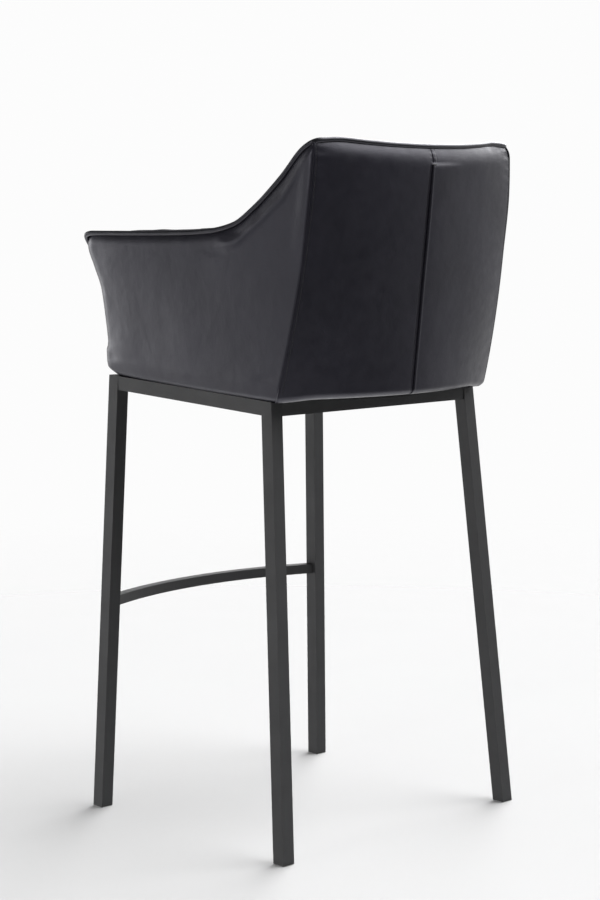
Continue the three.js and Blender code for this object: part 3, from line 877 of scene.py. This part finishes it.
def back_pad_rings():
    rings, weights = [], []
    for u in np.concatenate([[-1.0, -0.985, -0.965], np.linspace(-0.94, 0.94, 75), [0.965, 0.985, 1.0]]):
        rim = float(back_rim(u))
        base = float(base_at(back_face, u)) + PAD_FOOT
        pinch = 3.0 * max(0.0, 1 - (1 - abs(u)) * BACK_HALF / 9.0) ** 2
        end = 1 - float(smooth((1 - abs(u)) * BACK_HALF / (2 * PAD_CALM)))
        ring = []
        welt = float(welt_inset(back_face, u))
        for inset, z, firm in pad_profile(rim, base, welt, **BACK_PAD):
            inset = inset - (pinch if inset > PAD_MIDDLE else 0)
            z = z - (pinch if z > rim - 30 else 0)
            ring.append(placed(back_face, u * (1 - MITRE_BACK * inset), z, inset))
            weights.append(max(firm, end))
        rings.append(ring)
    return np.array(rings), np.array(weights)


def make_inner_pads():
    rings, weights = arm_pad_rings()
    left = puffed(loft("inner_arm_left", rings), weights, voxel=4.5, cap=7.0)
    right = mirrored(left, "inner_arm_right")
    for side, piece in (("left", left), ("right", right)):
        finish_piece(piece, LEATHER, "upholstery_leather", f"arm_pad_{side}", f"arm_front_{side}")
    rings, weights = back_pad_rings()
    back = puffed(loft("inner_back", rings), weights, voxel=4.5, cap=5.5)
    finish_piece(back, LEATHER, "upholstery_leather", "back_pad")


# ---- seat cushion, apron and dust cover ----
CUSHION = {"front": -183.0, "rear": 166.0, "half": (187.0, 179.0), "bulge": 44.0, "z": 16.0, "welt": 53.0}
APRON = {"z": (0.6, 17.0), "y": (-185.5, -178.0), "half": 190.0}
DUST_COVER = {"front": -178.0, "rear": 180.0, "half": (212.0, 206.0), "bulge": 57.0, "z": 0.9, "lip": 13.0}
TILT = -math.atan(FRAME_SLOPE)


def on_frame(x, y, z):
    """A point of the frame's tilted plane, in metres."""
    c, s = math.cos(TILT), math.sin(TILT)
    return np.array([x, y * c - z * s + SHIFT_Y, y * s + z * c + FRAME_TOP]) * MM


def plate_outline(front, rear, half, bulge, radius, count):
    """Even points round a plate: straight sides, rounded corners and an arched rear edge."""
    corners = [(half[0] - radius, front + radius, -90), (half[1] - radius, rear - radius / 6, 0)]
    quarter = []
    for x, y, begin in corners:
        for a in np.radians(np.linspace(begin, begin + 90, 12)):
            quarter.append((x + radius * math.cos(a), y + radius * math.sin(a)))
    arch = []
    for x in np.linspace(half[1] - radius, radius - half[1], 26)[1:-1]:
        arch.append((x, rear + radius * 0.83 * min(1, radius / 26) + bulge * (1 - (x / half[1]) ** 2)))
    points = quarter + arch + [(-x, y) for x, y in quarter[::-1]]
    loop = np.array([(x, y, 0) for x, y in points + points[:1]], float)
    length = np.linalg.norm(np.diff(loop, axis=0), axis=1).sum()
    return even(smoothed(loop, 2), length / count)[:-1, :2]


def make_cushion():
    size = CUSHION
    outline = plate_outline(size["front"], size["rear"], size["half"], size["bulge"], radius=26.0, count=150)
    middle = np.array([0.0, 8.0])
    levels = [(0.93, 0.0, 1), (0.985, 2.0, 1), (1.0, 8.0, 1), (1.004, 20.0, 0.6), (1.004, 32.0, 0.5)]
    levels += [(1.0, 43.0, 0.6), (0.995, 50.0, 1), (0.99, size["welt"], 1), (0.978, 56.0, 1)]
    levels += [(0.955, 57.5, 0.5), (0.9, 59.5, 0.1), (0.8, 61.5, 0), (0.65, 63.5, 0), (0.48, 64.6, 0)]
    levels += [(0.3, 65.0, 0), (0.12, 65.2, 0)]
    rings, weights = [], []
    for share, height, firm in levels:
        rings.append([on_frame(*(middle + (p - middle) * share), size["z"] + height) for p in outline])
        weights += [firm] * len(outline)
    piece = puffed(loft("seat_pad", np.array(rings)), np.array(weights, float), voxel=5.0, cap=9.0)
    finish_piece(piece, LEATHER, "upholstery_leather", "seat_cushion")
    edge = [on_frame(*(middle + (p - middle) * 0.992), size["z"] + size["welt"]) for p in outline]
    welt = closed_tube("seat_welt", np.array(edge), 2.6 * MM)
    finish_piece(welt, PIPING_LEATHER, "piping_leather")


def closed_tube(name, loop, radius, sides=12):
    """A round tube along a closed, nearly level loop of points."""
    tangent = np.roll(loop, -1, axis=0) - np.roll(loop, 1, axis=0)
    across = np.cross(tangent, (0, 0, 1.0))
    across /= np.linalg.norm(across, axis=1)[:, None]
    other = np.cross(across, tangent)
    other /= np.linalg.norm(other, axis=1)[:, None]
    angles = (np.arange(sides) * 2 * math.pi / sides)[None, :, None]
    rings = loop[:, None] + radius * (np.cos(angles) * across[:, None] + np.sin(angles) * other[:, None])
    last = len(loop) * sides
    faces = [[v % last for v in face] for face in grid_faces(len(loop) + 1, sides, close_columns=True)]
    return facing_out(new_object(name, rings, faces))


def make_apron():
    """The narrow padded strip that closes the seat's front edge, below the cushion and between the arms."""
    (low, high), (front, rear), half = APRON["z"], APRON["y"], APRON["half"]
    depth, tall = (rear - front) / 2, (high - low) / 2
    angles = np.arange(24) * 2 * math.pi / 24
    rings = []
    for x in np.linspace(-half, half, 90):
        full = 1 + 0.05 * float(waves(np.array(x), np.array(0.0), 70.0, 3.0))
        y = (front + rear) / 2 - depth * full * np.sign(np.cos(angles)) * np.abs(np.cos(angles)) ** 0.5
        z = (low + high) / 2 + tall * np.sign(np.sin(angles)) * np.abs(np.sin(angles)) ** 0.5
        rings.append([on_frame(x, a, b) for a, b in zip(y, z)])
    piece = subdivide(loft("seat_apron", np.array(rings)))
    finish_piece(piece, LEATHER, "upholstery_leather", "front_apron")
    row = np.array([on_frame(x, front - 0.1, low + 4.2) for x in np.linspace(-180, 180, 60)])
    stitch_row("apron_stitching", row)


def make_dust_cover():
    """Black fleece stretched under the seat board and turned up round its edge."""
    size = DUST_COVER
    outline = plate_outline(size["front"], size["rear"], size["half"], size["bulge"], radius=6.0, count=160)
    middle = np.array([0.0, 15.0])
    inner = []
    for share in np.concatenate([[0.01], np.linspace(0.1, 0.97, 16), [0.99, 1.0]]):
        ring = middle + (outline - middle) * share
        sag = 1.6 * float(1 - share ** 4) + 0.25 * waves(ring[:, 0], ring[:, 1], 90.0, 5.0) * (1 - share)
        levels = np.broadcast_to(size["z"] - sag, len(ring))
        inner.append([on_frame(x, y, level) for (x, y), level in zip(ring, levels)])
    for rise in (0.6, 3.0, 8.0, size["lip"]):
        inner.append([on_frame(x, y, size["z"] + rise) for x, y in outline])
    inner = np.array(inner)
    rows, columns = inner.shape[:2]
    faces = grid_faces(rows, columns, close_columns=True)
    faces.append(tuple(range(columns)))
    sheet = new_object("dust_fleece", inner, faces)
    thick = sheet.modifiers.new("thickness", "SOLIDIFY")
    thick.thickness, thick.offset = 0.5 * MM, 0.0
    facing_out(apply_modifiers(sheet))
    finish_piece(sheet, FLEECE, "dust_fleece", "dust_cover")


# ---- frame ----
def bevel(obj, width, segments=3):
    modifier = obj.modifiers.new("rounded_edges", "BEVEL")
    modifier.width = width * MM
    modifier.segments = segments
    modifier.limit_method = "ANGLE"
    modifier.angle_limit = math.radians(40)


def paint_node(name, material):
    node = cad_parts[name]
    node.data.materials.clear()
    node.data.materials.append(material)
    return node


def dress_frame():
    tubes = [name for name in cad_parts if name.startswith(("leg_", "rail_")) or name == "footrest_bar"]
    for name in tubes:
        bevel(paint_node(name, COAT), 1.0)
    for end in ("front", "rear"):
        for side in SIDES:
            bevel(paint_node(f"seat_tab_{end}_{side}", COAT), 0.5, 2)
            bevel(paint_node(f"glide_{end}_{side}", PLASTIC), 0.35, 2)
            for part in ("bolt", "washer", "tee_nut"):
                bevel(paint_node(f"{part}_{end}_{side}", ZINC), 0.25, 2)
    for name in ("seat_board", "arm_board_left", "arm_board_right", "back_board"):
        bevel(paint_node(name, PLYWOOD), 0.8, 2)


def weld_slice(vertices, faces, centre, along, upright, size):
    """A short length of square tube with rounded edges, which fills the gap where two tubes meet."""
    across = np.cross(along, upright)
    half, radius, reach = size / 2, 1.0, 1.5
    corners = []
    for a, b in ((1, 1), (-1, 1), (-1, -1), (1, -1)):
        begin = math.atan2(b, a) - math.pi / 4
        for turn in np.linspace(0, math.pi / 2, 4):
            u = a * (half - radius) + radius * math.cos(begin + turn)
            v = b * (half - radius) + radius * math.sin(begin + turn)
            corners.append((u, v))
    start = len(vertices)
    for end in (-reach, reach):
        for u, v in corners:
            vertices.append((centre + along * end + across * u + upright * v) * MM)
    faces += ring_faces(2, len(corners), start)


def make_welds():
    """Ground-flush welds between the rails and the legs' tops."""
    vertices, faces = [], []
    size = TUBE + 0.06
    tilt = np.array([0, math.cos(TILT), math.sin(TILT)])
    square = np.array([0, -math.sin(TILT), math.cos(TILT)])
    for end in ("front", "rear"):
        across_low, across_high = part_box(f"rail_{end}")
        middle_y = (across_low[1] + across_high[1]) / 2 / MM
        for side, sign in SIDES.items():
            side_low, side_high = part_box(f"rail_{side}")
            joint_y = (side_low if end == "front" else side_high)[1] / MM
            joint_x = (across_high if sign > 0 else across_low)[0] / MM
            leg_x = leg_x_at(side, end)
            for x, y, along in ((leg_x, joint_y, tilt), (joint_x, middle_y, np.array([1.0, 0, 0]))):
                centre = np.array([x, y, frame_top(y - SHIFT_Y) - TUBE / 2])
                weld_slice(vertices, faces, centre, along, square, size)
    welds = new_object("flush_welds", vertices, faces, smooth_shading=False)
    finish_piece(facing_out(welds), COAT, "frame_powder_coat")


def leg_x_at(side, end):
    """Middle of a leg's top across the stool, where its rails meet it."""
    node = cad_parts[f"leg_{end}_{side}"]
    points = coordinates(node.data) / MM
    top = points[points[:, 2] > points[:, 2].max() - TUBE / 2]
    return (top[:, 0].min() + top[:, 0].max()) / 2


# ---- stage, light and camera ----
CAMERA_AT = (2356.4, 2462.5, 970.2)
CAMERA_YAW = 223.92
CAMERA_PITCH = -6.55
FOCAL_PIXELS = 2129.67
PICTURE_HEIGHT = 900
SENSOR = 36.0

# Patches of light in the world: direction, cosines of edge and core, light outside and in the core
WALLS = ((-0.5, -0.87, 0.0), -0.6, 1.0, 0.145, 1.0)
WINDOW = ((0.31, -0.95, 0.0), 0.93, 0.99, 0.0, 3.4)
SOFTBOXES = [((-0.82, -0.26, 0.51), 0.89, 0.97, 0.0, 10.0), ((-0.42, 0.42, 0.80), 0.86, 0.95, 0.0, 4.8),
             ((0.95, -0.30, 0.0), 0.94, 0.99, 0.0, 0.9), ((-0.79, 0.41, 0.43), 0.93, 0.985, 0.0, 3.0),
             ((0.0, 0.0, 1.0), 0.8, 0.95, 0.0, 0.6)]
WALL_FADE = (0.06, 0.28, 1.0, 0.12)  # the walls dim between these two heights of a ray
GROUND = (-0.8, -0.45, 1.3, 0.0)  # and the ground's light ends between these two
BACKDROP = 0.975  # the plain white that the camera sees


def make_camera():
    data = bpy.data.cameras.new("camera")
    data.sensor_width = SENSOR
    data.lens = FOCAL_PIXELS * SENSOR / PICTURE_HEIGHT
    camera = in_scene("camera", data)
    x, y, z = CAMERA_AT
    camera.location = Vector((x, y + SHIFT_Y, z)) * MM
    camera.rotation_euler = (math.radians(90 + CAMERA_PITCH), 0, -math.radians(CAMERA_YAW))
    bpy.context.scene.camera = camera


def make_floor():
    """A pale floor that fades into the white surroundings away from the stool."""
    size = 40.0
    corners = [(-size, -size, 0), (size, -size, 0), (size, size, 0), (-size, size, 0)]
    floor = new_object("floor", corners, [(0, 1, 2, 3)], smooth_shading=False)
    n = surface("floor")
    colour = n.mix(n.noise(3.0, 2.0), (0.485, 0.485, 0.488), (0.50, 0.50, 0.503))
    radius = n.add("ShaderNodeVectorMath", operation="LENGTH")
    n.link(n.place, radius.inputs[0])
    solid = n.ramp(radius.outputs["Value"], 0.15, 3.2, 1.0, 0.0)
    floor.data.materials.append(n.finish(Base_Color=colour, Roughness=0.9, Alpha=solid))
    floor.visible_glossy = False


def make_world():
    """A white studio: bright low walls before the stool's open side, a dim side behind its back."""
    world = bpy.data.worlds.new("studio")
    bpy.context.scene.world = world
    world.use_nodes = True
    world.node_tree.nodes.clear()
    n = Nodes(world, "Generated")

    def towards(direction, edge, core, weak, strong):
        """Light that grows from weak to strong as a ray turns from the patch's edge into its core."""
        node = n.add("ShaderNodeVectorMath", operation="DOT_PRODUCT")
        n.link(n.place, node.inputs[0])
        node.inputs[1].default_value = Vector(direction).normalized()
        return n.ramp(node.outputs["Value"], edge, core, weak, strong, "SMOOTHSTEP")

    split = n.add("ShaderNodeSeparateXYZ")
    n.link(n.place, split.inputs[0])
    above = n.ramp(split.outputs["Z"], *WALL_FADE, "SMOOTHSTEP")
    ground = n.ramp(split.outputs["Z"], *GROUND, "SMOOTHSTEP")
    walls = n.math("ADD", towards(*WALLS), towards(*WINDOW))
    light = n.math("ADD", n.math("MULTIPLY", walls, above), ground)
    for softbox in SOFTBOXES:
        light = n.math("ADD", light, towards(*softbox))
    seen = n.add("ShaderNodeLightPath").outputs["Is Camera Ray"]
    unseen = n.math("SUBTRACT", 1.0, seen)
    plain = n.math("ADD", n.math("MULTIPLY", light, unseen), n.math("MULTIPLY", seen, BACKDROP))
    background = n.fill(n.add("ShaderNodeBackground"), Color=(1.0, 1.0, 1.0, 1.0), Strength=plain)
    n.link(background.outputs[0], n.add("ShaderNodeOutputWorld").inputs["Surface"])


def make_lights():
    """One soft lamp on the stool's left, for the faint shadows of the legs."""
    data = bpy.data.lights.new("key", "AREA")
    data.shape = "RECTANGLE"
    data.size, data.size_y = 0.6, 0.5
    data.energy = 14.0
    key = in_scene("key", data)
    key.location = (3.0, 0.15, 1.7)
    key.rotation_euler = (Vector((0, 0, 0.1)) - key.location).to_track_quat("-Z", "Y").to_euler()


def set_view():
    scene = bpy.context.scene
    scene.view_settings.view_transform = "Standard"
    scene.view_settings.look = "None"


# ---- everything together ----
set_view()
make_camera()
make_floor()
make_world()
make_lights()
dress_frame()
make_welds()
make_side_covers()
make_back_covers()
make_stitching()
make_piping()
make_inner_pads()
make_cushion()
make_apron()
make_dust_cover()
